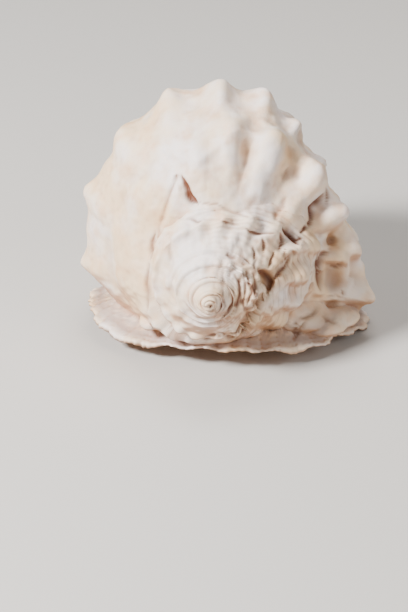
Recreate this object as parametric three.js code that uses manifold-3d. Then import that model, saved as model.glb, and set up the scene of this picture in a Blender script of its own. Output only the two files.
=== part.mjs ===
// A large knobbly sea snail shell, bleached, lying on the rim of its mouth.
// It grew as one piece, so the whole object is one closed solid.
//
// Frame in millimetres: +Z up, the surface it lies on is z = 0, the tip of the spire points
// to -Y, the front canal to +Y, and the origin is the middle of the footprint.
// A turn is measured in degrees round the coiling axis. It starts at the left side of the last
// whorl and grows over the top, down the right side and on to the outer lip.

import * as THREE from 'three';
import Module from 'manifold-3d';

// Driving dimensions
const axisHeight = 56;
const footprintMiddle = { x: 8.85, depth: 107.85 };
const growthPerTurn = 1.85;
const innerRadius = 0.8;

// Towards the front end the axis bends down and to the right, where the canal meets the rim
const frontBend = { from: 100, to: 212, down: 38, aside: 17 };
const frontDepth = 213;

// Spiral lines on the surface: turn, radius from the axis, depth behind the tip
const sutureLine = [
  [-720, 12.2, 10.5], [-630, 13.4, 11], [-540, 15.8, 12], [-450, 20, 15], [-360, 22.8, 21],
  [-270, 25, 20], [-180, 30, 20], [-90, 39, 30], [-45, 41, 31], [-20, 36, 33], [8, 33.7, 39],
  [36, 34.4, 42], [62, 38, 40], [90, 42, 35.5], [120, 42.5, 38], [150, 44.5, 44], [166, 48, 51],
  [182, 57, 58], [205, 61, 60], [240, 58, 62],
];
const shoulderLine = [
  [-720, 19, 15], [-630, 20, 14], [-540, 25, 14], [-450, 32, 23], [-360, 31, 29], [-270, 38, 28],
  [-180, 52, 43], [-90, 52, 50], [-15, 57, 64], [30, 60, 62], [85, 69, 54], [98, 76, 62],
  [116, 78, 69], [141, 75, 70], [165, 75, 76], [183, 82, 79], [200, 94, 83], [212, 96, 80],
  [240, 94, 76],
];
const crownLine = [
  [-720, 23, 23], [-630, 25.5, 23], [-540, 31, 24], [-450, 39, 33], [-360, 34, 40],
  [-270, 42.5, 39], [-180, 61, 61], [-90, 60, 74], [-15, 69, 87], [20, 70, 88], [52, 75.5, 89],
  [73, 82, 97], [92, 84, 97], [108, 83.5, 97], [123, 79.5, 91], [140, 72, 92], [160, 70, 94],
  [182, 77, 97], [203, 91, 99], [216, 95, 98], [240, 97, 97],
];

// From the crown to the front end: share of the crown's radius, share of the way there
const rearLine = [
  { share: 0.96, way: 0.12 },
  { share: 0.92, way: 0.26 },
  { share: 0.84, way: 0.43 },
  { share: 0.67, way: 0.6 },
  { share: 0.44, way: 0.76 },
  { share: 0.24, way: 0.9 },
  { share: 0.13, way: 1 },
];

// A cut comes back along the bent axis, at these shares of its depth and radii
const axisReturn = [[0.88, 0.85], [0.76, 0.93], [0.64, 1.03], [0.5, 1.2], [0.3, 0.95]];
// The pillar in the middle: depth and radius
const pillarLine = [
  [3, 1.2], [20, 4], [32, 7], [110, 7], [130, 7], [150, 7], [170, 7], [190, 6], [207, 5],
  [214, 3],
];
const pillarSides = 8;

// Knobs: the turns where they stand, how far they rise and how wide they are
const crownKnobs = [-48, -15, 20, 51, 74, 92, 109, 125, 143, 162, 182, 201, 220];
const shoulderKnobs = [98, 116, 141, 161, 181, 200, 218];
const crownRise = 7.5;
const shoulderRise = 6.5;
const rearRise = 4;
const rearKnobRows = [1, 2];
const knobWidth = 6.3;
const knobLean = { out: 0.6, forward: 0.8 };
// The older whorls have a scalloped shoulder
const scallop = { every: 20, rise: 1.6, shoulderShare: 0.7, from: -560, to: -110 };
// Where a whorl slopes from its suture to its shoulder, and where an older whorl ends unseen
const slope = [
  { share: 0.35, dip: 1.5, knob: 0.25 },
  { share: 0.7, dip: 1.5, knob: 0.6 },
];
const flank = { dip: 1.5, knob: 0.3, crownForward: 0.2 };
const crownForward = 0.15;
const unseenEnd = { share: 0.93, back: 7, axisBack: 9 };

// The flared rim of the mouth, seen from above: sideways from the axis, depth, height
const rimLine = [
  [-69, 83, 8], [-64, 64, 9], [-45, 46.5, 8], [-32, 41.5, 9], [-19, 35, 11], [2, 30.5, 12.5],
  [22, 29, 13], [36, 33, 11], [53, 40, 9], [66, 49, 8], [74, 60, 7], [84, 71, 4], [90, 86, 0],
  [90, 104, -3], [86, 128, -4], [74, 152, -3], [56, 176, 0], [38, 198, 0], [29, 213, -2],
  [16, 213, -2], [6, 198, 0], [-16, 176, 0], [-38, 152, -3], [-59, 128, -4], [-69, 104, -3],
];
const rimMiddle = [16, 108, 26];
const rimThickness = { edge: 3.6, root: 9.4 };
// The rim is drawn as rings, at these shares of the way from its middle to its edge
const rimRings = [1, 0.86, 0.64, 0.36];

// The hollow inside: turn, radius from the axis, depth, half width, half length
const hollowLine = [
  [-60, 29, 76, 7, 10], [-20, 35, 84, 12, 18], [30, 43, 92, 20, 30], [80, 48, 97, 26, 38],
  [112, 47, 98, 25, 38.5], [130, 44.5, 98, 22.5, 38], [152, 42, 98, 21, 37.5],
  [180, 43.5, 98, 22.5, 37.5],
];
const hollowStep = 12;
const hollowSides = 16;
// Its way out, straight down: height, sideways, depth, half width, half length
const mouthLine = [[34, 44, 98, 25, 38], [16, 41, 98, 27, 40], [-8, 38, 98, 29, 42]];
// The groove for the siphon, open below: sideways, depth, half width
const canalLine = [[36, 130, 10], [32, 160, 7], [26, 190, 6], [23, 222, 6]];
const canalHeight = 1;
const canalSides = 10;

// The whorls are built in overlapping stretches; the last ones reach to the front end
const stretches = [
  { from: -1800, to: -1337, step: 45, whole: false },
  { from: -1340, to: -997, step: 30, whole: false },
  { from: -1000, to: -717, step: 24, whole: false },
  { from: -720, to: -487, step: 15, whole: false },
  { from: -490, to: -307, step: 5, whole: false },
  { from: -310, to: -129, step: 5, whole: false },
  { from: -132, to: -10, step: 6, whole: true },
  { from: -13, to: 60, step: 4, whole: true },
  { from: 57, to: 150, step: 4, whole: true },
  { from: 147, to: 240, step: 4, whole: true },
];

// Working sizes: far enough out to clear the whole shell, and the shortest edge kept
const clearOfShell = 1.4;
const wellAbove = 260;
const shortestEdge = 0.05;

const wasm = await Module();
wasm.setup();

// A smooth curve through a line's points; before the first of them the shell's growth law holds
function alongLine(line, turn, column) {
  const first = line[0];
  if (turn <= first[0]) return first[column] * growthPerTurn ** ((turn - first[0]) / 360);
  const last = line[line.length - 1];
  if (turn >= last[0]) return last[column];
  let i = 0;
  while (line[i + 1][0] < turn) i += 1;
  const before = line[Math.max(i - 1, 0)];
  const from = line[i];
  const to = line[i + 1];
  const after = line[Math.min(i + 2, line.length - 1)];
  const span = to[0] - from[0];
  const part = (turn - from[0]) / span;
  const rise = to[column] - from[column];
  const slopeFrom = (to[column] - before[column]) / (to[0] - before[0]) * span;
  const slopeTo = (after[column] - from[column]) / (after[0] - from[0]) * span;
  const bend = 3 * rise - 2 * slopeFrom - slopeTo + part * (slopeFrom + slopeTo - 2 * rise);
  return from[column] + part * (slopeFrom + part * bend);
}

// How much of a knob stands at this turn, from 0 between knobs to 1 on one
function knobShare(knobs, turn, radius) {
  let share = 0;
  for (const knob of knobs) {
    const away = THREE.MathUtils.degToRad(turn - knob) * radius / knobWidth;
    share = Math.max(share, Math.exp(-away * away));
  }
  return share;
}

// A point of the model from its turn, radius and depth
function place(turn, radius, depth) {
  const angle = THREE.MathUtils.degToRad(turn);
  const bend = THREE.MathUtils.smoothstep(depth, frontBend.from, frontBend.to);
  return [
    -Math.cos(angle) * radius + frontBend.aside * bend - footprintMiddle.x,
    depth - footprintMiddle.depth,
    Math.sin(angle) * radius + axisHeight - frontBend.down * bend,
  ];
}

// The cut through one whorl at a turn, as radius and depth, from the suture to the canal
function whorlSection(turn, whole) {
  const at = (line) => [alongLine(line, turn, 1), alongLine(line, turn, 2)];
  const suture = at(sutureLine);
  const shoulder = at(shoulderLine);
  const crown = at(crownLine);
  const shoulderKnob = shoulderRise * knobShare(shoulderKnobs, turn, shoulder[0]);
  const crownKnob = crownRise * knobShare(crownKnobs, turn, crown[0]);
  if (turn > scallop.from && turn < scallop.to) {
    const lift = scallop.rise * Math.cos(2 * Math.PI * turn / scallop.every);
    shoulder[0] += lift * scallop.shoulderShare;
    shoulder[1] -= lift * scallop.shoulderShare;
    crown[0] += lift;
  }
  const section = [[innerRadius, suture[1]], suture];
  for (const { share, dip, knob } of [...slope, { share: 1, dip: 0, knob: 1 }]) {
    const rise = shoulderKnob * knob;
    section.push([
      suture[0] + (shoulder[0] - suture[0]) * share + rise * knobLean.out,
      suture[1] + (shoulder[1] - suture[1]) * share + dip - rise * knobLean.forward,
    ]);
  }
  if (!whole) {
    section.push(
      crown,
      [crown[0] * unseenEnd.share, crown[1] + unseenEnd.back],
      [innerRadius, crown[1] + unseenEnd.axisBack],
    );
    return section;
  }
  section.push([
    (shoulder[0] + crown[0]) / 2 + crownKnob * flank.knob,
    (shoulder[1] + crown[1]) / 2 + flank.dip - shoulderKnob * flank.knob
      - crownKnob * flank.crownForward,
  ]);
  section.push([crown[0] + crownKnob, crown[1] - crownKnob * crownForward]);
  const rearKnob = rearRise * crownKnob / crownRise;
  for (const [row, { share, way }] of rearLine.entries()) {
    const rise = rearKnobRows.includes(row) ? rearKnob : 0;
    section.push([crown[0] * share + rise, crown[1] + (frontDepth - crown[1]) * way]);
  }
  section.push([innerRadius, frontDepth]);
  for (const [share, radius] of axisReturn) {
    section.push([radius, suture[1] + (frontDepth - suture[1]) * share]);
  }
  return section;
}

// A closed solid from rings of points joined in order, with faces over its first and last ring
function solidFromRings(rings, firstFaces, lastFaces) {
  const count = rings[0].length;
  const triangles = [];
  for (let ring = 0; ring + 1 < rings.length; ring += 1) {
    for (let i = 0; i < count; i += 1) {
      const a = ring * count + i;
      const b = ring * count + (i + 1) % count;
      triangles.push(a, b, b + count, a, b + count, a + count);
    }
  }
  const lastRing = (rings.length - 1) * count;
  for (const [a, b, c] of firstFaces) triangles.push(a, c, b);
  for (const [a, b, c] of lastFaces) triangles.push(a + lastRing, b + lastRing, c + lastRing);
  return solidFromTriangles(rings.flat(2), triangles);
}

// Where the rings ran the other way round, all the triangles are turned over
function solidFromTriangles(vertices, triangles) {
  const corner = (i) => new THREE.Vector3().fromArray(vertices, i * 3);
  let volume = 0;
  for (let i = 0; i < triangles.length; i += 3) {
    const across = corner(triangles[i + 1]).cross(corner(triangles[i + 2]));
    volume += corner(triangles[i]).dot(across);
  }
  if (volume < 0) triangles.reverse();
  return new wasm.Manifold(new wasm.Mesh({
    numProp: 3,
    vertProperties: new Float32Array(vertices),
    triVerts: new Uint32Array(triangles),
  }));
}

// Triangles over a flat ring, all from one of its corners
function fan(ring, corner = 0) {
  const count = ring.length;
  return ring.slice(2).map((point, i) => (
    [corner, (corner + i + 1) % count, (corner + i + 2) % count]));
}

// One stretch of whorl between two turns
function whorlStretch(from, to, step, whole) {
  const count = Math.ceil((to - from) / step);
  const rings = [];
  for (let i = 0; i <= count; i += 1) {
    const turn = from + (to - from) * i / count;
    rings.push(whorlSection(turn, whole).map(([radius, depth]) => place(turn, radius, depth)));
  }
  const ends = fan(rings[0], whole ? rings[0].length - 2 : 0);
  return solidFromRings(rings, ends, ends);
}

// An oval ring: its middle, the two directions it spreads in and how far it goes along each
function ovalRing(middle, along, across, reachAlong, reachAcross, sides) {
  return Array.from({ length: sides }, (unused, i) => {
    const angle = 2 * Math.PI * i / sides;
    return middle.map((value, axis) => value + along[axis] * reachAlong * Math.cos(angle)
      + across[axis] * reachAcross * Math.sin(angle));
  });
}

// The living space: a widening tube that follows the whorls and leaves by the mouth
function hollow() {
  const rings = [];
  const first = hollowLine[0][0];
  const last = hollowLine[hollowLine.length - 1][0];
  for (let turn = first; turn <= last; turn += hollowStep) {
    const [radius, depth, width, length] = [1, 2, 3, 4].map((c) => alongLine(hollowLine, turn, c));
    const angle = THREE.MathUtils.degToRad(turn);
    const outward = [-Math.cos(angle), 0, Math.sin(angle)];
    const middle = place(turn, radius, depth);
    rings.push(ovalRing(middle, outward, [0, 1, 0], width, length, hollowSides));
  }
  for (const [height, sideways, depth, width, length] of mouthLine) {
    const middle = [sideways - footprintMiddle.x, depth - footprintMiddle.depth, height];
    rings.push(ovalRing(middle, [1, 0, 0], [0, 1, 0], width, length, hollowSides));
  }
  return solidFromRings(rings, fan(rings[0]), fan(rings[0]));
}

function canalGroove() {
  const rings = canalLine.map(([sideways, depth, reach]) => {
    const middle = [sideways - footprintMiddle.x, depth - footprintMiddle.depth, canalHeight];
    return ovalRing(middle, [1, 0, 0], [0, 0, 1], reach, reach, canalSides);
  });
  return solidFromRings(rings, fan(rings[0]), fan(rings[0]));
}

// The rim rises from its edge to its middle like a shallow funnel held upside down
function rimHeight(edgeHeight, share) {
  return edgeHeight + (rimMiddle[2] - edgeHeight) * Math.cos(share * Math.PI / 2);
}

function rimRing(share, lift) {
  return rimLine.map(([sideways, depth, height]) => [
    rimMiddle[0] + (sideways - rimMiddle[0]) * share - footprintMiddle.x,
    rimMiddle[1] + (depth - rimMiddle[1]) * share - footprintMiddle.depth,
    rimHeight(height, share) + lift,
  ]);
}

function rim() {
  const under = rimRings.map((share) => rimRing(share, 0)).reverse();
  const { edge, root } = rimThickness;
  const over = rimRings.map((share) => rimRing(share, root + (edge - root) * share));
  return solidFromRings([...under, ...over], fan(under[0]), fan(over[0]));
}

// Everything above the underside of the rim; what lies lower is cut away
function aboveRim() {
  const under = rimRings.map((share) => rimRing(share, 0)).reverse();
  const edge = under[under.length - 1];
  const outside = edge.map(([x, y, z]) => (
    [x * clearOfShell, y * clearOfShell, Math.max(z, 0)]));
  const top = outside.map(([x, y]) => [x, y, wellAbove]);
  return solidFromRings([...under, outside, top], fan(under[0]), fan(top));
}

// Everything above the surface it lies on, where its worn rim is flat
function aboveTable() {
  const low = [[-1, -1], [1, -1], [1, 1], [-1, 1]].map(([x, y]) => [x * wellAbove, y * wellAbove, 0]);
  const high = low.map(([x, y]) => [x, y, wellAbove]);
  return solidFromRings([low, high], fan(low), fan(high));
}

// The pillar that the whorls wind round
function pillar() {
  const rings = pillarLine.map(([depth, radius]) => (
    ovalRing(place(0, 0, depth), [1, 0, 0], [0, 0, 1], radius, radius, pillarSides)));
  return solidFromRings(rings, fan(rings[0]), fan(rings[0]));
}

// The corners next to each corner, and the triangles that meet at it
function neighbours(triangles, count) {
  const beside = Array.from({ length: count }, () => new Set());
  const around = Array.from({ length: count }, () => new Set());
  triangles.forEach((triangle, index) => {
    for (const corner of triangle) {
      around[corner].add(index);
      for (const other of triangle) {
        if (other !== corner) beside[corner].add(other);
      }
    }
  });
  return { beside, around };
}

// Joining whorls leaves a few very short edges; the two ends of each are made one corner
function closeShortEdges(corners, triangles) {
  const { beside, around } = neighbours(triangles, corners.length);
  const facing = (triangle) => {
    const [a, b, c] = triangle.map((corner) => corners[corner]);
    return b.clone().sub(a).cross(c.clone().sub(a));
  };
  const staysFacing = (index, from, to) => {
    const moved = triangles[index].map((corner) => (corner === from ? to : corner));
    return facing(moved).dot(facing(triangles[index])) > 0;
  };
  for (let from = 0; from < corners.length; from += 1) {
    const to = [...beside[from]].find((other) => {
      if (corners[from].distanceTo(corners[other]) > shortestEdge) return false;
      const shared = [...beside[from]].filter((corner) => beside[other].has(corner));
      const kept = [...around[from]].filter((index) => !triangles[index].includes(other));
      return shared.length === 2 && kept.every((index) => staysFacing(index, from, other));
    });
    if (to === undefined) continue;
    for (const index of around[from]) {
      const triangle = triangles[index];
      if (triangle.includes(to)) {
        triangle.forEach((corner) => around[corner].delete(index));
        triangles[index] = [];
      } else {
        triangles[index] = triangle.map((corner) => (corner === from ? to : corner));
        around[to].add(index);
      }
    }
    for (const corner of beside[from]) {
      beside[corner].delete(from);
      if (corner !== to) {
        beside[corner].add(to);
        beside[to].add(corner);
      }
    }
    beside[from].clear();
    around[from].clear();
  }
  return triangles.filter((triangle) => triangle.length > 0);
}

let shell = pillar();
for (const { from, to, step, whole } of stretches) {
  shell = shell.add(whorlStretch(from, to, step, whole));
}
shell = shell.intersect(aboveRim()).add(rim()).subtract(hollow()).subtract(canalGroove());
shell = shell.intersect(aboveTable());

const cut = shell.getMesh();
const corners = [];
for (let i = 0; i < cut.vertProperties.length; i += 3) {
  corners.push(new THREE.Vector3().fromArray(cut.vertProperties, i));
}
const faces = [];
for (let i = 0; i < cut.triVerts.length; i += 3) faces.push([...cut.triVerts.slice(i, i + 3)]);
const geometry = new THREE.BufferGeometry();
geometry.setFromPoints(corners);
geometry.setIndex(closeShortEdges(corners, faces).flat());

const bleachedShell = new THREE.MeshStandardMaterial({
  color: 0xece0d2,
  roughness: 0.62,
  metalness: 0,
});
const mesh = new THREE.Mesh(geometry, bleachedShell);
mesh.name = 'shell';

const model = new THREE.Group();
model.add(mesh);
export default model;
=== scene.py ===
import math

import bmesh
import bpy
import numpy as np
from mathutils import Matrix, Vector, noise
from mathutils.bvhtree import BVHTree


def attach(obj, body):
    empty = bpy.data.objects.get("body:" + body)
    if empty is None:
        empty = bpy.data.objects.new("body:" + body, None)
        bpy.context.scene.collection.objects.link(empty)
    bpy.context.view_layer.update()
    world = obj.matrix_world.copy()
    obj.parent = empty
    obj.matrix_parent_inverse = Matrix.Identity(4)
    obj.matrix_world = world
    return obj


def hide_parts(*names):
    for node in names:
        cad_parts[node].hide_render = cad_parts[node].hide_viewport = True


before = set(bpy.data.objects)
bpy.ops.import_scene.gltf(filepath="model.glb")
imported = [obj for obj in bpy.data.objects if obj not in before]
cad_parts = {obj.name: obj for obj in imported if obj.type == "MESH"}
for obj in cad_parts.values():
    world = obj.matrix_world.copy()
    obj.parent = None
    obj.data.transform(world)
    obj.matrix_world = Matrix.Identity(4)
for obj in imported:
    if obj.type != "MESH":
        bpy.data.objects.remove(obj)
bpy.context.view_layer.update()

# The camera
# It stands where the photo was taken: in front of the tip and above it, with a long lens.
PHOTO_SIZE = (408, 612)
SENSOR = 36
LENS = 176.47
camera = bpy.data.cameras.new("camera")
camera.sensor_width = SENSOR
camera.lens = LENS
camera.clip_end = 10
eye = bpy.data.objects.new("camera", camera)
eye.rotation_mode = "ZYX"
eye.rotation_euler = (math.radians(62), 0, math.radians(1.11))
eye.location = (-0.01155, -1.52995, 0.8132)
bpy.context.collection.objects.link(eye)
bpy.context.scene.camera = eye
eye_turn = np.array(eye.rotation_euler.to_matrix())
eye_place = np.array(eye.location) * 1000


def photo_pixel(points):
    """Where points in mm fall in the photo."""
    seen = (points - eye_place) @ eye_turn
    reach = PHOTO_SIZE[1] * LENS / SENSOR / -seen[..., 2]
    return np.stack([
        PHOTO_SIZE[0] / 2 + seen[..., 0] * reach, PHOTO_SIZE[1] / 2 - seen[..., 1] * reach], -1)


def behind_pixel(across, down, depth):
    """The point in mm that a photo pixel shows at a depth behind the tip."""
    focal = PHOTO_SIZE[1] * LENS / SENSOR
    way = eye_turn @ [across - PHOTO_SIZE[0] / 2, PHOTO_SIZE[1] / 2 - down, -focal]
    return eye_place + way * (depth - FOOTPRINT_MIDDLE[1] - eye_place[1]) / way[1]


# The shell
# Real piece: the shell of a large sea snail, one solid skin of layered calcium carbonate. It grew
# as one piece from the tip: each turn was laid on the one before, with a row of blunt knobs at
# every pause, and the last turn ended in a flared rim. It is bleached and worn by sun and sand.
MM = 0.001
AXIS_HEIGHT = 56
FOOTPRINT_MIDDLE = (8.85, 107.85)
GROWTH_PER_TURN = 1.85
FRONT_DEPTH = 213
FRONT_BEND = {"from": 100, "to": 212, "down": 38, "aside": 17}

# Spiral lines on the surface: turn in degrees, radius from the axis and depth behind the tip
SUTURE_LINE = [
    (-720, 12.2, 10.5), (-630, 13.4, 11), (-540, 15.8, 12), (-450, 20, 15), (-360, 22.8, 21),
    (-270, 25, 20), (-180, 30, 20), (-90, 39, 30), (-45, 41, 31), (-20, 36, 33), (8, 33.7, 39),
    (36, 34.4, 42), (62, 38, 40), (90, 42, 35.5), (120, 42.5, 38), (150, 44.5, 44), (166, 48, 51),
    (182, 57, 58), (205, 61, 60), (240, 58, 62),
]
SHOULDER_LINE = [
    (-720, 19, 15), (-630, 20, 14), (-540, 25, 14), (-450, 32, 23), (-360, 31, 29), (-270, 38, 28),
    (-180, 52, 43), (-90, 52, 50), (-15, 57, 64), (30, 60, 62), (85, 69, 54), (98, 76, 62),
    (116, 78, 69), (141, 75, 70), (165, 75, 76), (183, 82, 79), (200, 94, 83), (212, 96, 80),
    (240, 94, 76),
]
CROWN_LINE = [
    (-720, 23, 23), (-630, 25.5, 23), (-540, 31, 24), (-450, 39, 33), (-360, 34, 40),
    (-270, 42.5, 39), (-180, 61, 61), (-90, 60, 74), (-15, 69, 87), (20, 70, 88), (52, 75.5, 89),
    (73, 82, 97), (92, 84, 97), (108, 83.5, 97), (123, 79.5, 91), (140, 72, 92), (160, 70, 94),
    (182, 77, 97), (203, 91, 99), (216, 95, 98), (240, 97, 97),
]
# From the crown to the front end: share of the crown's radius, share of the way there
REAR_LINE = [
    (0.96, 0.12), (0.92, 0.26), (0.84, 0.43), (0.67, 0.6), (0.44, 0.76), (0.24, 0.9), (0.13, 1),
]
# A whorl's cut comes back along the bent axis: share of its depth, radius
AXIS_RETURN = [(0.88, 0.85), (0.76, 0.93), (0.64, 1.03), (0.5, 1.2), (0.3, 0.95)]

# Knobs: the turn where each stands, how far it rises and how wide it is, in mm
CROWN_KNOBS = [
    (-48, 5, 6), (-15, 6.8, 6.5), (20, 6.6, 7), (51, 7, 7.5), (73, 7, 7), (92, 7.5, 7),
    (109, 7.5, 7), (125, 6.5, 6), (143, 5.5, 6), (162, 6, 6), (182, 6, 6), (201, 8, 6.5),
    (220, 7, 6),
]
SHOULDER_KNOBS = [
    (82, 2.5, 6), (98, 6.5, 8), (116, 8, 8), (141, 8, 7.5), (161, 7, 6.5), (181, 7, 6),
    (200, 7.5, 6.5), (218, 6, 6),
]

# Grooves and ridges seen from the tip: points to the right of and above the axis, how wide each
# is and how deep it cuts, in mm; a ridge is a groove of negative depth
GROOVES = [
    ([(-28, 20), (-27, 29), (-25, 38), (-22, 47), (-18.7, 54.5)], 1.1, 1.3),
    ([(-18.7, 54.5), (-16, 50), (-13, 46), (-9.5, 42.5)], 1.5, 1.2),
    ([(-23, 33), (-21, 40), (-18.5, 48)], 4.5, -2.2),
    ([(45, 14), (40, 10), (35, 5), (31.5, 1), (29, -6), (26, -13), (19, -22)], 2.4, 4.5),
]


def line_at(line, turn):
    """Radius and depth of a spiral line at each turn, by a smooth curve through its points."""
    keys = np.array(line, dtype=float)
    at, values = keys[:, 0], keys[:, 1:]
    slope = np.empty_like(values)
    slope[1:-1] = (values[2:] - values[:-2]) / (at[2:] - at[:-2])[:, None]
    slope[0] = (values[1] - values[0]) / (at[1] - at[0])
    slope[-1] = (values[-1] - values[-2]) / (at[-1] - at[-2])
    inside = np.clip(turn, at[0], at[-1])
    i = np.clip(np.searchsorted(at, inside, side="right") - 1, 0, len(at) - 2)
    span = (at[i + 1] - at[i])[:, None]
    part = (inside - at[i])[:, None] / span
    rise = values[i + 1] - values[i]
    start, end = slope[i] * span, slope[i + 1] * span
    bend = 3 * rise - 2 * start - end + part * (start + end - 2 * rise)
    before = np.minimum(turn - at[0], 0)[:, None]
    return (values[i] + part * (start + part * bend)) * GROWTH_PER_TURN ** (before / 360)


def through_rows(rows, at):
    """A smooth curve through control rows, taken at fractional row numbers."""
    last = rows.shape[1] - 1
    i = np.clip(np.floor(at).astype(int), 0, last - 1)
    part = (at - i)[None, :, None]
    here, there = rows[:, i], rows[:, i + 1]
    start = (there - rows[:, np.maximum(i - 1, 0)]) / 2
    end = (rows[:, np.minimum(i + 2, last)] - here) / 2
    rise = there - here
    bend = 3 * rise - 2 * start - end + part * (start + end - 2 * rise)
    return here + part * (start + part * bend)


def bump(distance, width):
    return np.exp(-((distance / width) ** 2))


def ramp(value, low, high):
    """Rises smoothly from 0 at low to 1 at high."""
    way = np.clip((value - low) / (high - low), 0, 1)
    return way * way * (3 - 2 * way)


def place(turn, radius, depth):
    """Points in the model's frame, in mm."""
    angle = np.radians(turn)
    bend = ramp(depth, FRONT_BEND["from"], FRONT_BEND["to"])
    return np.stack([
        -np.cos(angle) * radius + FRONT_BEND["aside"] * bend - FOOTPRINT_MIDDLE[0],
        depth - FOOTPRINT_MIDDLE[1],
        np.sin(angle) * radius + AXIS_HEIGHT - FRONT_BEND["down"] * bend,
    ], axis=-1)


def distance_to_path(x, z, path):
    """How far flat points are from a path of straight steps, and how far along it, from 0 to 1."""
    nearest = np.full(x.shape, 1e9)
    share = np.zeros(x.shape)
    steps = np.hypot(*np.diff(np.array(path, dtype=float), axis=0).T)
    run = 0
    for (x0, z0), (x1, z1), step in zip(path, path[1:], steps):
        way = ((x - x0) * (x1 - x0) + (z - z0) * (z1 - z0)) / step ** 2
        way = np.clip(way, 0, 1)
        far = np.hypot(x - x0 - way * (x1 - x0), z - z0 - way * (z1 - z0))
        share = np.where(far < nearest, (run + way * step) / steps.sum(), share)
        nearest = np.minimum(nearest, far)
        run += step
    return nearest, share


def whorl_rows(turn, at):
    """Radius and depth over a stretch of whorl: turns by fractional rows from suture to front."""
    suture, shoulder, crown = (line_at(line, turn) for line in (
        SUTURE_LINE, SHOULDER_LINE, CROWN_LINE))
    # the first half of the last turn bulges, and the rest is hollowed between its ribs
    smooth = (ramp(turn, -60, -10) * (1 - ramp(turn, 70, 100)))[:, None]
    dip = 1.2 - 3.4 * smooth
    rows = [suture]
    for share in (0.35, 0.7):
        rows.append(suture + (shoulder - suture) * share + dip * [-0.5, 0.8])
    rows += [shoulder + smooth * [-1.2, 1.2], (shoulder + crown) / 2 + dip * [-0.8, 0.4], crown]
    for share, way in REAR_LINE:
        depth = crown[:, 1] + (FRONT_DEPTH - crown[:, 1]) * way
        rows.append(np.stack([crown[:, 0] * share, depth], axis=-1))
    return through_rows(np.stack(rows, axis=1), at)


def knob_rise(knobs, turn, radius):
    """How far the knobs of a row stand out at each turn."""
    rise = np.zeros_like(radius)
    for knob, height, width in knobs:
        away = np.radians(turn - knob)[:, None] * radius
        rise = np.maximum(rise, height * bump(away, width))
    return rise


def whorl_surface(turn, at):
    """The outside of the shell over a stretch: knobs, ribs, scallops, beads, cords, grooves."""
    line = whorl_rows(turn, at)
    radius, depth = line[..., 0], line[..., 1]
    around = turn[:, None]

    # knobs and the ribs that join them, on the last turn
    crown = knob_rise(CROWN_KNOBS, turn, radius)
    shoulder = knob_rise(SHOULDER_KNOBS, turn, radius)
    crown_share = np.interp(at, [3, 4, 5, 6, 7, 8, 9, 10], [0, 0.35, 1, 0.5, 0.5, 0.45, 0.2, 0])
    shoulder_share = np.interp(at, [0, 1, 2, 3, 4, 5], [0, 0.35, 0.75, 1, 0.45, 0.1])
    out = crown * crown_share + shoulder * shoulder_share * 0.6
    forward = crown * crown_share * 0.15 + shoulder * shoulder_share * 0.8

    # scallops and beads on the older turns, worn down on the left of the shell
    size = np.clip(radius / 28, 0.2, 1.3)
    grown = ramp(around, -700, -560) * (1 - ramp(around, -110, -60))
    crisp = 0.08 + 0.92 * ramp(np.cos(np.radians(around + 190)), -0.2, 0.8)
    wander = 12 * np.sin(np.radians(around * 2.3)) + 7 * np.sin(np.radians(around * 5.9))
    scallop = np.cos(np.radians(around * 18 + wander)) * bump(at - 2.8, 1) * 1.9
    bead = np.cos(np.radians(around * 31 + wander * 4 + at * 60))
    bead = bead * (bump(at - 1.2, 0.4) + bump(at - 2.1, 0.4)) * 0.3
    lobe = ramp(around, -200, -188)
    bead = bead * (1 - lobe)
    cords = np.cos(2 * np.pi * at * 2.2) * 0.2 * (1 - ramp(around, -60, 0))
    stria = np.cos(2 * np.pi * at * 5) * 0.14 * lobe * (1 - ramp(around, -110, -90))
    relief = scallop * (0.3 + 0.7 * crisp) + bead * crisp ** 2
    detail = size * (grown * relief + cords * crisp + stria)
    out = out + detail * 0.7
    forward = forward + detail * 0.7

    line[..., 0] += out
    line[..., 1] -= forward

    # grooves and ridges, cut from the tip's side
    x = -np.cos(np.radians(around)) * line[..., 0]
    z = np.sin(np.radians(around)) * line[..., 0]
    seen = (1 - ramp(at, 4, 5))[None, :]
    for path, width, deep in GROOVES:
        line[..., 1] += seen * deep * bump(distance_to_path(x, z, path)[0], width)
    return line


def closed_object(name, rings, corner=0):
    """A closed mesh object from rings of points in mm, its ends closed from one corner."""
    rings = np.asarray(rings)
    count, sides = rings.shape[:2]
    ring = np.arange(count - 1)[:, None] * sides
    side = np.arange(sides)[None, :]
    after = (side + 1) % sides
    quads = np.stack([ring + side, ring + after, ring + sides + after, ring + sides + side], -1)
    faces = quads.reshape(-1, 4).tolist()
    last = (count - 1) * sides
    order = [(corner + i) % sides for i in range(sides)]
    for here, there in zip(order[1:], order[2:]):
        faces.append([order[0], there, here])
        faces.append([order[0] + last, here + last, there + last])
    points = rings.reshape(-1, 3)
    corners = np.array([face[:3] for face in faces])
    a, b, c = (points[corners[:, i]] for i in range(3))
    volume = np.einsum("ij,ij->i", a, np.cross(b, c)).sum()
    mesh = bpy.data.meshes.new(name)
    mesh.from_pydata((points * MM).tolist(), [], faces)
    if volume < 0:
        mesh.flip_normals()
    piece = bpy.data.objects.new(name, mesh)
    bpy.context.collection.objects.link(piece)
    return piece


def combine(piece, other, operation):
    """Joins another closed object to the piece, or cuts it away, and removes it."""
    step = piece.modifiers.new("combine", "BOOLEAN")
    step.operation = operation
    step.object = other
    step.solver = "MANIFOLD"
    depsgraph = bpy.context.evaluated_depsgraph_get()
    mesh = bpy.data.meshes.new_from_object(piece.evaluated_get(depsgraph))
    piece.modifiers.clear()
    old = piece.data
    piece.data = mesh
    bpy.data.meshes.remove(old)
    bpy.data.objects.remove(other)


FRONT_ROWS = np.linspace(0, 5, 61)
REAR_ROWS = np.concatenate([np.linspace(5, 8, 22)[1:], np.linspace(8, 12, 15)[1:]])


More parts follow.
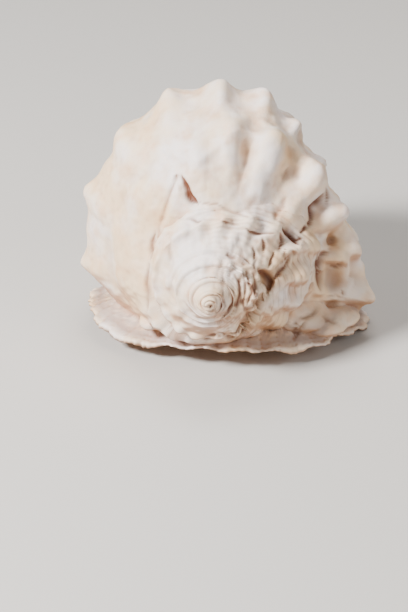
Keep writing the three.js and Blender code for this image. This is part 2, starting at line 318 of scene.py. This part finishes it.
def stretch(first, last, step, whole):
    """A stretch of whorl; a whole one reaches to the front end, an older one ends unseen."""
    turn = np.linspace(first, last, math.ceil((last - first) / step) + 1)
    at = np.concatenate([FRONT_ROWS, REAR_ROWS]) if whole else FRONT_ROWS
    line = whorl_surface(turn, at)
    suture = line[:, :1, 1]
    if whole:
        ends = [np.stack([np.full_like(suture, 0.8), np.full_like(suture, FRONT_DEPTH)], -1)]
        for share, radius in AXIS_RETURN:
            depth = suture + (FRONT_DEPTH - suture) * share
            ends.append(np.stack([np.full_like(depth, radius), depth], -1))
    else:
        crown = line[:, -1:]
        ends = [crown * [0.93, 1] + [0, 7],
                np.stack([np.full_like(suture, 0.8), crown[..., 1] + 9], -1)]
    start = np.stack([np.full_like(suture, 0.8), suture], -1)
    section = np.concatenate([start, line, *ends], axis=1)
    rings = place(turn[:, None], section[..., 0], section[..., 1])
    return closed_object("whorl", rings, section.shape[1] - 2 if whole else 0)


def oval(middle, along, across, reach_along, reach_across, sides):
    angle = np.linspace(0, 2 * np.pi, sides, endpoint=False)[:, None]
    return (np.array(middle) + np.array(along) * reach_along * np.cos(angle)
            + np.array(across) * reach_across * np.sin(angle))


# The flared rim of the mouth, seen from above: sideways from the axis, depth, height
RIM_LINE = [
    (-67, 83, 10), (-61, 64, 9), (-45, 46.5, 8), (-32, 41.5, 9), (-19, 35, 11), (2, 30.5, 12.5),
    (22, 29, 13), (36, 33, 11), (53, 40, 9), (66, 49, 8), (74, 60, 7), (84, 71, 4), (90, 86, 0),
    (90, 104, -3), (86, 128, -4), (74, 152, -3), (56, 176, 0), (38, 198, 0), (29, 213, -2),
    (16, 213, -2), (6, 198, 0), (-16, 176, 0), (-38, 152, -3), (-59, 128, -1), (-67, 104, 8),
]
RIM_MIDDLE = (16, 108, 26)
RIM_THICKNESS = {"edge": 1.5, "root": 9}


def rim_outline(count):
    """The rim's edge, evenly sampled, with its ruffles."""
    keys = np.array(RIM_LINE, dtype=float)
    keys = np.concatenate([keys[-1:], keys, keys[:2]])
    at = 1 + np.linspace(0, len(RIM_LINE), count, endpoint=False)
    edge = through_rows(keys[None], at)[0]
    step = np.linalg.norm(np.roll(edge, -1, axis=0) - edge, axis=1)
    run = np.concatenate([[0], np.cumsum(step)[:-1]])
    outward = edge - np.array(RIM_MIDDLE)
    outward[:, 2] = 0
    outward /= np.linalg.norm(outward, axis=1)[:, None]
    lobes = np.abs(np.sin(run * np.pi / 10.5 + np.sin(run / 17))) - 0.6
    teeth = np.sin(run * 2 * np.pi / 4.1 + 2 * np.sin(run / 7))
    front = ramp(-edge[:, 1], -110, -90)
    edge += outward * (lobes * 2.2 + teeth * 0.45)[:, None] * (0.3 + 0.7 * front)[:, None]
    edge[:, 2] += (np.sin(run * 2 * np.pi / 21) * 0.9 + lobes * 0.8) * front
    return edge


def rim_ring(edge, share, lift):
    """A ring of the rim, smooth inside and ruffled only near its edge."""
    middle = np.array(RIM_MIDDLE, dtype=float)
    calm = np.stack([np.convolve(np.tile(column, 3), np.ones(25) / 25, "same")[
        len(column):2 * len(column)] for column in edge.T], -1)
    edge = calm + (edge - calm) * ramp(share, 0.8, 1)
    ring = middle + (edge - middle) * share
    ring[:, 2] = edge[:, 2] + (middle[2] - edge[:, 2]) * math.cos(share * math.pi / 2) + lift
    return ring - [FOOTPRINT_MIDDLE[0], FOOTPRINT_MIDDLE[1], 0]


rim_edge = rim_outline(420)
under_shares = [0.36, 0.5, 0.64, 0.75, 0.86, 0.93, 1]
over_shares = [1, 0.985, 0.97, 0.955, 0.94, 0.92, 0.9, 0.88, 0.85, 0.8, 0.72, 0.64, 0.5, 0.36]
under = [rim_ring(rim_edge, share, 0) for share in under_shares]
over = []
for share in over_shares:
    thick = RIM_THICKNESS["root"] + (RIM_THICKNESS["edge"] - RIM_THICKNESS["root"]) * share
    lamella = 0.35 * math.sin(share * 160) if share < 0.99 else 0
    over.append(rim_ring(rim_edge, share, thick + lamella))
rim = closed_object("rim", under + over)
outside = under[-1] * [1.4, 1.4, 1]
outside[:, 2] = np.maximum(outside[:, 2], 0)
top = outside * [1, 1, 0] + [0, 0, 260]
above_rim = closed_object("above rim", under + [outside, top])

# The living space: turn, radius from the axis, depth, half width, half length
HOLLOW_LINE = [
    (-60, 29, 76, 7, 10), (-20, 35, 84, 12, 18), (30, 43, 92, 20, 30), (80, 48, 97, 26, 38),
    (112, 47, 98, 25, 38.5), (130, 44.5, 98, 22.5, 38), (152, 42, 98, 21, 37.5),
    (180, 43.5, 98, 22.5, 37.5),
]
# Its way out, straight down: height, sideways, depth, half width, half length
MOUTH_LINE = [(34, 44, 98, 25, 38), (16, 41, 98, 27, 40), (-8, 38, 98, 29, 42)]
# The groove for the siphon: sideways, depth, half width
CANAL_LINE = [(36, 130, 10), (32, 160, 7), (26, 190, 6), (23, 222, 6)]
turns = np.arange(-60, 181, 4.0)
rings = []
for turn, (radius, depth, width, length) in zip(turns, line_at(HOLLOW_LINE, turns)):
    outward = (-math.cos(math.radians(turn)), 0, math.sin(math.radians(turn)))
    rings.append(oval(place(turn, radius, depth), outward, (0, 1, 0), width, length, 40))
for height, sideways, depth, width, length in MOUTH_LINE:
    middle = (sideways - FOOTPRINT_MIDDLE[0], depth - FOOTPRINT_MIDDLE[1], height)
    rings.append(oval(middle, (1, 0, 0), (0, 1, 0), width, length, 40))
hollow = closed_object("hollow", rings)
canal = closed_object("canal", [
    oval((sideways - FOOTPRINT_MIDDLE[0], depth - FOOTPRINT_MIDDLE[1], 1), (1, 0, 0), (0, 0, 1),
         reach, reach, 20) for sideways, depth, reach in CANAL_LINE])
pillar = closed_object("pillar", [
    oval(place(0, 0, depth), (1, 0, 0), (0, 0, 1), radius, radius, 12)
    for depth, radius in (
        (3, 1.2), (20, 4), (32, 7), (110, 7), (130, 7), (150, 7), (170, 7), (190, 6), (207, 5),
        (214, 3))])
table_corners = np.array([(-1, -1, 0), (1, -1, 0), (1, 1, 0), (-1, 1, 0)]) * 260.0
above_table = closed_object("above table", [table_corners, table_corners + [0, 0, 260]])

shell = stretch(-119.9, 240, 0.9, True)
shell.name = "snail_shell"
for first, last, step, whole in (
    (-129, -119.9, 1.5, True),
    (-487.5, -129, 1.1, False),
    (-845, -487.5, 2.2, False),
    (-1203, -845, 5, False),
    (-1800, -1203, 12, False),
):
    combine(shell, stretch(first, last, step, whole), "UNION")
combine(shell, pillar, "UNION")
combine(shell, above_rim, "INTERSECT")
combine(shell, rim, "UNION")

# Lumps that the shell grew over its joins: a photo pixel, a depth behind the tip, half sizes in mm
JOIN_LUMPS = [
    (300, 314, 62, (17, 15, 9)), (322, 321, 66, (15, 15, 7)), (341, 315, 74, (11, 12, 6)),
    (330, 290, 82, (12, 12, 14)), (149, 321, 46, (6, 6, 3.5)), (254, 331, 40, (4, 4, 2.5)),
]
for across, down, depth, (wide, deep, high) in JOIN_LUMPS:
    middle = behind_pixel(across, down, depth)
    combine(shell, closed_object("lump", [
        oval(middle + [0, deep * math.cos(lean), 0], (1, 0, 0), (0, 0, 1),
             wide * math.sin(lean), high * math.sin(lean), 28)
        for lean in np.radians(np.linspace(4, 176, 20))]), "UNION")


# Soft lumps and dents by photo pixels: middle, half width and height in pixels, rise in mm
DENTS = [
    (271, 152, 15, 23, 3.4), (312, 178, 13, 20, 3.2), (294, 214, 11, 12, 2.6),
    (312, 245, 12, 9, 2.6), (338, 256, 9, 7, 3), (350, 282, 3.5, 5, 1.8), (341, 313, 9, 7, 2),
    (268.5, 313, 3.5, 4, 1.8), (318, 270, 6, 6, 1.8), (319, 290, 5, 6, 1.4), (222, 90, 7, 16, 1.2),
    (265, 102, 7, 14, 1.2), (134, 198, 8, 12, 0.9), (160, 152, 9, 10, 0.9), (199, 155, 12, 12, 1.2),
    (332, 240, 4, 6, -3.5), (334, 279, 11, 12, -3), (267, 283, 5, 12, -4), (335, 266, 8, 3, -2),
    (258, 126, 16, 6, -2.4), (302, 137, 5, 9, -1.6), (332, 305, 7, 3.5, -1.4),
    (231, 150, 9, 30, 1.6), (258, 180, 8, 16, 1.2), (324, 164, 5, 6, 1.4), (346, 211, 6, 7, 1.6),
    (362, 264, 6, 7, 1.4), (374, 297, 5, 8, 1.4), (366, 318, 8, 7, 1.4), (347, 332, 8, 5, 1.2),
    (334, 212, 11, 14, 3), (322, 224, 9, 9, 1.8), (285, 212, 9, 8, 1.4), (345, 268, 4, 12, 2.4),
    (164, 226, 5, 7, 1.4), (167, 256, 5, 7, 1.5), (169, 284, 5, 7, 1.3), (178, 312, 7, 6, 1.3),
    (150, 326, 8, 5, 1.6), (174, 334, 8, 6, 1.8), (193, 338, 6, 5, 1.8), (220, 331, 7, 5, 1.4),
    (163, 331, 3, 4, -1.2), (184, 230, 5, 6, 1), (201, 231, 6, 8, 1.1), (217, 233, 5, 8, 1.1),
    (233, 238, 5, 8, 1.2), (300, 282, 9, 12, 2), (292, 305, 10, 8, 1.6), (276, 307, 6, 7, 1.2),
]
# Slits and edges by photo pixels: points along it, half width and depth in mm, how rusty it is;
# the rust is dirt in the cracks and painted shade in the deeper slits and recesses
SLITS = [
    ([(178, 178), (169, 194), (163, 212), (157, 230)], 1.1, 0.4, 0),
    ([(157, 230), (153, 238), (151, 252), (150, 262)], 1.0, 1.3, 0.55),
    ([(150, 262), (147, 274), (147, 290), (147, 312)], 1.1, 1.3, 0.6),
    ([(181, 175), (184, 182), (187, 189), (191, 197), (198, 205)], 1.3, 2.6, 2),
    ([(185, 187), (188, 193), (192, 200), (197, 204)], 1.5, 1.2, 1.8),
    ([(194, 202), (205, 204), (216, 204), (226, 209), (238, 213), (251, 217), (264, 221),
      (278, 224)], 0.9, 0.8, 0.22),
    ([(189, 219), (196, 221), (203, 220)], 0.8, 1.0, 0.6),
    ([(221, 220), (226, 223), (231, 222)], 0.8, 1.1, 0.65),
    ([(245, 228), (251, 233), (260, 233), (275, 233)], 0.9, 1.4, 0.6),
    ([(161, 218), (178, 218), (190, 219), (222, 220), (245, 227)], 0.8, 0.4, 0.15),
    ([(169, 234), (170, 250), (172, 264), (169, 277), (170, 293), (177, 303)], 1.3, 0.6, 0.12),
    ([(226, 254), (232, 257), (237, 259)], 0.9, 1.3, 0.6),
    ([(262, 236), (264, 244), (265, 254)], 0.7, 1.3, 0.75),
    ([(253, 245), (255, 252), (254, 260)], 0.6, 1.1, 0.7),
    ([(280, 232), (282, 241), (279, 251)], 0.8, 1.3, 0.75),
    ([(286, 247), (284, 255), (286, 264)], 0.6, 0.9, 0.6),
    ([(275, 250), (271, 260), (269, 270)], 0.7, 1.2, 0.75), ([(245, 258), (251, 265)], 0.7, 1, 0.5),
    ([(258, 267), (264, 274), (270, 282), (268, 291)], 2.2, 3.2, 0.9),
    ([(268, 291), (262, 300), (255, 309), (246, 322), (240, 333)], 2.8, 2.4, 0.55),
    ([(290, 257), (286, 266), (280, 271), (272, 281)], 1.2, 2.2, 0.75),
    ([(283, 226), (287, 233), (292, 237), (301, 245)], 1.5, 2.4, 1.4),
    ([(287, 228), (289, 236), (297, 239), (303, 238)], 1.2, 1.6, 1.2),
    ([(246, 269), (249, 280), (251, 292), (247, 307)], 0.8, 1.2, 1),
    ([(254, 276), (257, 287), (254, 300)], 0.8, 1.1, 0.9),
    ([(243, 276), (246, 290), (243, 303)], 0.7, 0.9, 0.8),
    ([(300, 233), (309, 225), (312, 218)], 1.3, 2.0, 1),
    ([(324, 193), (318, 202), (311, 208), (312, 218), (309, 226)], 1.4, 2.2, 1),
    ([(327, 186), (327, 204)], 0.9, 0.9, 0.4),
    ([(285, 196), (283, 206), (277, 213), (275, 221)], 1.8, 1.0, 0.45),
    ([(288, 166), (286, 173), (282, 181)], 1.6, 0.8, 0.3),
    ([(289, 146), (293, 154), (298, 163)], 2.2, 0.5, 0.12),
    ([(245, 138), (248, 158), (251, 172)], 2.6, 0.5, 0.08),
    ([(256, 192), (255, 200), (250, 208)], 2.2, 0.6, 0.25),
    ([(329, 250), (321, 256), (319, 267), (320, 281), (321, 292)], 2.2, 3, 1),
    ([(329, 266), (336, 267), (343, 263)], 1.2, 2.0, 0.6),
    ([(296, 320), (296, 328), (293, 338)], 1.1, 1.6, 0.55),
    ([(305, 318), (302, 328), (296, 336), (290, 342)], 1.1, 1.5, 0.5),
    ([(292, 321), (305, 317), (316, 312), (322, 302)], 1.3, 1.7, 0.5),
    ([(322, 311), (328, 319), (338, 324)], 1.2, 1.6, 0.4),
    ([(314, 282), (311, 288), (308, 291)], 1.0, 1.0, 0.4),
    ([(218, 333), (228, 337), (236, 335), (242, 327), (248, 317)], 1.3, 1.9, 0.75),
    ([(204, 340), (210, 337), (217, 335)], 1.3, 1.8, 0.7), ([(239, 332), (249, 333)], 1.4, 2.4, 1),
    ([(234, 274), (240, 283), (241, 294), (238, 305), (231, 316), (221, 325)], 1.2, 1.2, 1),
    ([(226, 284), (232, 292), (233, 302), (228, 313), (219, 321)], 0.9, 1.0, 1),
    ([(217, 294), (222, 302), (220, 311), (214, 318)], 0.8, 0.8, 1),
    ([(225, 298), (226, 307), (220, 317)], 0.6, 0.6, 0.7), ([(209, 307), (212, 308)], 0.9, 1, 1.2),
    ([(344, 290), (343, 296)], 1.2, 1.2, 0.5), ([(324, 298), (336, 296), (348, 300)], 1, 0.9, 0.2),
    # wide soft marks that paint shade on the dark recesses at the right and under the spire
    ([(326, 262), (332, 274), (334, 286), (332, 296)], 5, 1.2, 0.5),
    ([(331, 236), (333, 246)], 3.5, 1.2, 0.45), ([(268, 276), (268, 292)], 3.5, 0.5, 0.5),
]
# The old turns are worn smooth on the left, and corded and pitted on the right, by photo pixels
CORDED = {"middle": (244, 288), "half": (30, 40)}


def neighbour_mean(values, edges, times):
    """Each corner's value averaged with its neighbours', again and again."""
    count = np.bincount(edges.ravel(), minlength=len(values)).astype(float)
    shape = (len(values), -1)
    values = values.reshape(shape)
    for _ in range(times):
        total = np.stack([
            np.bincount(edges[:, 0], column[edges[:, 1]], len(values))
            + np.bincount(edges[:, 1], column[edges[:, 0]], len(values))
            for column in values.T], -1)
        values = (values + total / np.maximum(count, 1)[:, None]) / 2
    return values


def mesh_numbers(mesh):
    """Corners in mm, their normals, and the edges between them."""
    points = np.empty(len(mesh.vertices) * 3)
    normals = np.empty(len(mesh.vertices) * 3)
    edges = np.empty(len(mesh.edges) * 2, dtype=np.int32)
    mesh.vertices.foreach_get("co", points)
    mesh.vertices.foreach_get("normal", normals)
    mesh.edges.foreach_get("vertices", edges)
    return points.reshape(-1, 3) / MM, normals.reshape(-1, 3), edges.reshape(-1, 2)


def drop_crumbs(mesh):
    """Keeps the largest connected part, without the loose bits that a cut leaves."""
    edges = mesh_numbers(mesh)[2]
    part = np.arange(len(mesh.vertices))
    before = None
    while before is None or (part != before).any():
        before = part.copy()
        lowest = part[edges].min(axis=1)
        for ends in edges.T:
            np.minimum.at(part, ends, lowest)
        part = part[part]
    largest = np.bincount(part).argmax()
    grid = bmesh.new()
    grid.from_mesh(mesh)
    grid.verts.ensure_lookup_table()
    crumbs = [grid.verts[i] for i in np.flatnonzero(part != largest)]
    bmesh.ops.delete(grid, geom=crumbs, context="VERTS")
    grid.to_mesh(mesh)
    grid.free()


def calm_normals(normals, edges):
    """Normals averaged over the neighbourhood; they fade where a fold makes them disagree."""
    calm = neighbour_mean(normals, edges, 6)
    return calm / np.maximum(np.linalg.norm(calm, axis=1), 0.4)[:, None]


def move_corners(mesh, points):
    mesh.vertices.foreach_set("co", (points * MM).ravel())
    mesh.update()


def seen_in_photo(piece, points, normals, edges):
    """From 0 to 1, how surely each corner shows in the photo."""
    tree = BVHTree.FromObject(piece, bpy.context.evaluated_depsgraph_get())
    toward = eye_place - points
    toward /= np.linalg.norm(toward, axis=1)[:, None]
    seen = np.zeros(len(points))
    for i in np.flatnonzero((toward * normals).sum(1) > 0.08):
        start = Vector((points[i] + normals[i] * 0.4) * MM)
        seen[i] = tree.ray_cast(start, Vector(toward[i]))[0] is None
    return neighbour_mean(seen, edges, 3)[:, 0]


def roughened(points, normals, grain):
    """Worn stone-like unevenness: pairs of size and height in mm, added along the normals."""
    rise = np.zeros(len(points))
    for size, height in grain:
        for i, point in enumerate(points):
            rise[i] += noise.noise(Vector(point / size)) * height
    return points + normals * rise[:, None]


skin = shell.data
points, normals, edges = mesh_numbers(skin)
# where the whorls, the lumps and the rim meet, new shell has filled and rounded the join
pixels = photo_pixel(points)
filled = np.zeros(len(points))
for across, down, half_width, half_height in (
    (318, 314, 40, 16), (152, 321, 16, 9), (186, 285, 27, 46), (250, 294, 9, 15),
):
    filled = np.maximum(filled, bump(np.hypot(
        (pixels[:, 0] - across) / half_width, (pixels[:, 1] - down) / half_height), 1))
points += (neighbour_mean(points, edges, 14) - points) * filled[:, None]
move_corners(skin, points)
points, normals, edges = mesh_numbers(skin)
move_corners(skin, roughened(
    points, calm_normals(normals, edges), ((22, 1.6), (9, 0.9), (3.6, 0.4))))

# the inside is smooth, and the edge of the rim that it lies on is worn flat
combine(shell, hollow, "DIFFERENCE")
combine(shell, canal, "DIFFERENCE")
combine(shell, above_table, "INTERSECT")
skin = shell.data
drop_crumbs(skin)
points, normals, edges = mesh_numbers(skin)
surface = calm_normals(normals, edges)
on_table = points[:, 2] < 0.3
shown = seen_in_photo(shell, points, normals, edges)
pixels = photo_pixel(points)
rise = np.zeros(len(points))
for across, down, half_width, half_height, height in DENTS:
    away = np.hypot((pixels[:, 0] - across) / half_width, (pixels[:, 1] - down) / half_height)
    rise += height * np.exp(-away ** 3)
points += surface * (rise * shown * ~on_table)[:, None]
move_corners(skin, points)

points, normals, edges = mesh_numbers(skin)
shown = seen_in_photo(shell, points, normals, edges)
pixels = photo_pixel(points)
pixel_size = PHOTO_SIZE[1] * LENS / SENSOR / np.linalg.norm(points - eye_place, axis=1)
waver = np.array([noise.noise_vector(Vector(point / 5))[:2] for point in points]) * 1.1
cut = np.zeros(len(points))
rust_and_shade = np.zeros(len(points))
for path, half_width, depth, rust_and_shade_share in SLITS:
    far, way = distance_to_path(pixels[:, 0] + waver[:, 0], pixels[:, 1] + waver[:, 1], path)
    taper = np.clip(4.2 * way * (1 - way), 0.04, 1) ** 0.6
    far = far / pixel_size / np.maximum(taper, 0.3)
    cut = np.maximum(cut, depth * taper * bump(far, half_width))
    rust_and_shade = np.maximum(rust_and_shade, rust_and_shade_share * taper * bump(far, half_width))
# crooked cords that run down round the tip, with pits between them
off = (pixels - CORDED["middle"]) / CORDED["half"]
corded = bump(np.hypot(off[:, 0], off[:, 1]), 0.9)
cord = np.array([noise.noise(Vector((p[0] / 2.4, p[1] / 5, p[2] / 6))) for p in points])
cut += corded * np.clip(-cord * 2.2, 0, 1) * 0.8
# the pits are rusty: dirt, and painted shade in their depths
rust_and_shade = np.maximum(rust_and_shade, corded * np.clip(-cord * 3 - 0.35, 0, 1))
points -= calm_normals(normals, edges) * (cut * shown * ~on_table)[:, None]
points[:, 2] = np.maximum(points[:, 2], 0)
move_corners(skin, points)

# How deep each corner lies in a hollow, for the dirt and the stain that gather there, and for
# the painted shade in its creases and recesses
points, normals, edges = mesh_numbers(skin)
spacing = np.linalg.norm(points[edges[:, 0]] - points[edges[:, 1]], axis=1)
spacing = sum(np.bincount(ends, spacing, len(points)) for ends in edges.T) / np.bincount(
    edges.ravel(), minlength=len(points))
sunk_dirt_and_shade = np.zeros(len(points))
for rounds, depth in ((4, 0.45), (24, 1.5)):
    around = neighbour_mean(points, edges, rounds)
    sunk_dirt_and_shade = np.maximum(sunk_dirt_and_shade, ((around - points) * normals).sum(1) / depth)
sunk_dirt_and_shade /= np.maximum(spacing / 1.1, 1) ** 2
# faces that look down, below the upper whorls, get a darker tan as painted shade
underside_painted_shade = ramp(-normals[:, 2], 0.15, 0.6) * (1 - ramp(points[:, 2], 60, 90))
# the rim is greyer, with paler and darker bands along its edge
from_middle = points[:, :2] + FOOTPRINT_MIDDLE - RIM_MIDDLE[:2]
edge_from_middle = rim_edge[:, :2] - RIM_MIDDLE[:2]
heading = np.arctan2(edge_from_middle[:, 1], edge_from_middle[:, 0])
order = np.argsort(heading)
edge_reach = np.interp(
    np.arctan2(from_middle[:, 1], from_middle[:, 0]), heading[order],
    np.hypot(*edge_from_middle.T)[order], period=2 * np.pi)
out_share = np.hypot(*from_middle.T) / edge_reach
on_rim = ramp(out_share, 0.7, 0.82) * (1 - ramp(points[:, 2], 17, 25)) * (1 - underside_painted_shade)
on_rim *= 0.62 + 0.38 * np.sin(out_share * 150 + 4 * np.sin(heading[0] + out_share * 40))
on_rim *= 1 - ramp(out_share, 0.97, 1)
for name, values in (
    ("hollow", np.clip(sunk_dirt_and_shade, 0, 1)), ("rust_and_shade", np.clip(rust_and_shade * shown, 0, 1)), ("underside_painted_shade", underside_painted_shade),
    ("rim", np.clip(on_rim, 0, 1)),
):
    attribute = skin.attributes.new(name, "FLOAT", "POINT")
    attribute.data.foreach_set("value", values.astype(np.float32))


def linear(colour):
    """A hex sRGB colour as linear red, green, blue and alpha."""
    parts = [int(colour[i:i + 2], 16) / 255 for i in (1, 3, 5)]
    return [p / 12.92 if p <= 0.04045 else ((p + 0.055) / 1.055) ** 2.4 for p in parts] + [1]


def add_node(tree, kind, settings=None, **links):
    """Adds a node; each link is a socket to read or a plain value, named by its input."""
    node = tree.nodes.new(kind)
    for key, value in (settings or {}).items():
        setattr(node, key, value)
    for key, value in links.items():
        name = key.replace("_", " ")
        socket = node.inputs[int(name[1:])] if name[1:].isdigit() else node.inputs[name]
        if isinstance(value, bpy.types.NodeSocket):
            tree.links.new(value, socket)
        else:
            socket.default_value = value
    return node


# Aragonite, bleached by the sun and rubbed by sand: chalky white with cream and peach clouds,
# tan to rust in hollows and slits, partly dirt and partly painted shade, painted shade on faces
# that look down, and a little shine on the worn tops.
CHALK = "#F3E6DF"
CREAM = "#F1CFA3"
PEACH = "#E3AC78"
# tan for dirt and painted shade in the hollows
DIRT_AND_SHADE_TAN = "#9E6B45"
# rust for dirt in cracks and painted shade in deep recesses
RUST_AND_SHADE = "#6A3515"
# a darker tan painted as shade on faces that look down
UNDERSIDE_PAINTED_SHADE = "#B07D58"
RIM_GREY = "#A8928A"
aragonite = bpy.data.materials.new("bleached_aragonite")
aragonite.use_nodes = True
tree = aragonite.node_tree
shader = tree.nodes["Principled BSDF"]
place_node = add_node(tree, "ShaderNodeTexCoord").outputs["Object"]


def cloud(size_mm, detail, low, high):
    """Soft patches of a size in mm, from 0 to 1."""
    patches = add_node(tree, "ShaderNodeTexNoise", Vector=place_node, Scale=1000 / size_mm,
                       Detail=detail, Roughness=0.55)
    return add_node(tree, "ShaderNodeMapRange", i0=patches.outputs["Fac"], i1=low,
                    i2=high).outputs["Result"]


def tinted(share, colour, under):
    """The colour under it, mixed with another by a share."""
    mix = add_node(tree, "ShaderNodeMix", {"data_type": "RGBA"}, i0=share)
    for socket, value in ((mix.inputs[6], under), (mix.inputs[7], colour)):
        if isinstance(value, bpy.types.NodeSocket):
            tree.links.new(value, socket)
        else:
            socket.default_value = linear(value)
    return mix.outputs[2]


def times(first, second):
    return add_node(tree, "ShaderNodeMath", {"operation": "MULTIPLY", "use_clamp": True},
                    i0=first, i1=second).outputs[0]


def on_surface(name):
    return add_node(tree, "ShaderNodeAttribute", {"attribute_name": name}).outputs["Fac"]


colour = tinted(times(cloud(34, 3, 0.38, 0.62), 0.9), CREAM, CHALK)
colour = tinted(times(cloud(12, 5, 0.48, 0.7), 0.5), PEACH, colour)
colour = tinted(times(on_surface("rim"), 0.75), RIM_GREY, colour)
# tan in the hollows: dirt, and painted shade in the creases and recesses
colour = tinted(times(on_surface("hollow"), 0.85), DIRT_AND_SHADE_TAN, colour)
# painted shade on faces that look down
colour = tinted(times(on_surface("underside_painted_shade"), 0.75), UNDERSIDE_PAINTED_SHADE, colour)
# rust in the slits and pits: dirt, and painted shade in the deep recesses
colour = tinted(on_surface("rust_and_shade"), RUST_AND_SHADE, colour)
tree.links.new(colour, shader.inputs["Base Color"])
shader.inputs["IOR"].default_value = 1.6
shader.inputs["Subsurface Weight"].default_value = 0.03
shader.inputs["Subsurface Scale"].default_value = 0.002
gloss = add_node(tree, "ShaderNodeMapRange", i0=cloud(6, 4, 0.3, 0.7), i3=0.72, i4=0.5)
tree.links.new(gloss.outputs["Result"], shader.inputs["Roughness"])
grain = add_node(tree, "ShaderNodeTexNoise", Vector=place_node, Scale=1000 / 1.4, Detail=6)
pits = add_node(tree, "ShaderNodeBump", Strength=0.5, Distance=0.0003, Height=grain.outputs["Fac"])
tree.links.new(pits.outputs["Normal"], shader.inputs["Normal"])
skin.materials.clear()
skin.materials.append(aragonite)

for face in skin.polygons:
    face.use_smooth = True
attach(shell, "root")
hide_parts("shell")

# The stage
# A plain pale floor, and soft light from large lamps: the brightest from the front on the left.
floor_mesh = bpy.data.meshes.new("floor")
reach = 4
floor_mesh.from_pydata(
    [(-reach, -reach, 0), (reach, -reach, 0), (reach, reach, 0), (-reach, reach, 0)],
    [], [(0, 1, 2, 3)])
floor = bpy.data.objects.new("floor", floor_mesh)
bpy.context.collection.objects.link(floor)
paper = bpy.data.materials.new("matt_paper")
paper.use_nodes = True
paper.node_tree.nodes["Principled BSDF"].inputs["Base Color"].default_value = linear("#C4BFB9")
paper.node_tree.nodes["Principled BSDF"].inputs["Roughness"].default_value = 0.8
floor_mesh.materials.append(paper)

for name, place_at, size, power in (
    ("key", (-0.95, -0.7, 1.0), 0.3, 64),
    ("fill", (1.0, -0.7, 0.8), 0.8, 7),
    ("top", (0.0, 0.4, 1.1), 0.5, 8),
):
    lamp = bpy.data.lights.new(name, "AREA")
    lamp.size = size
    lamp.energy = power
    light = bpy.data.objects.new(name, lamp)
    light.location = place_at
    light.rotation_euler = (-Vector(place_at)).to_track_quat("-Z", "Y").to_euler()
    bpy.context.collection.objects.link(light)

world = bpy.data.worlds.new("studio")
world.use_nodes = True
world.node_tree.nodes["Background"].inputs["Color"].default_value = (0.8, 0.8, 0.8, 1)
world.node_tree.nodes["Background"].inputs["Strength"].default_value = 0.16
bpy.context.scene.world = world
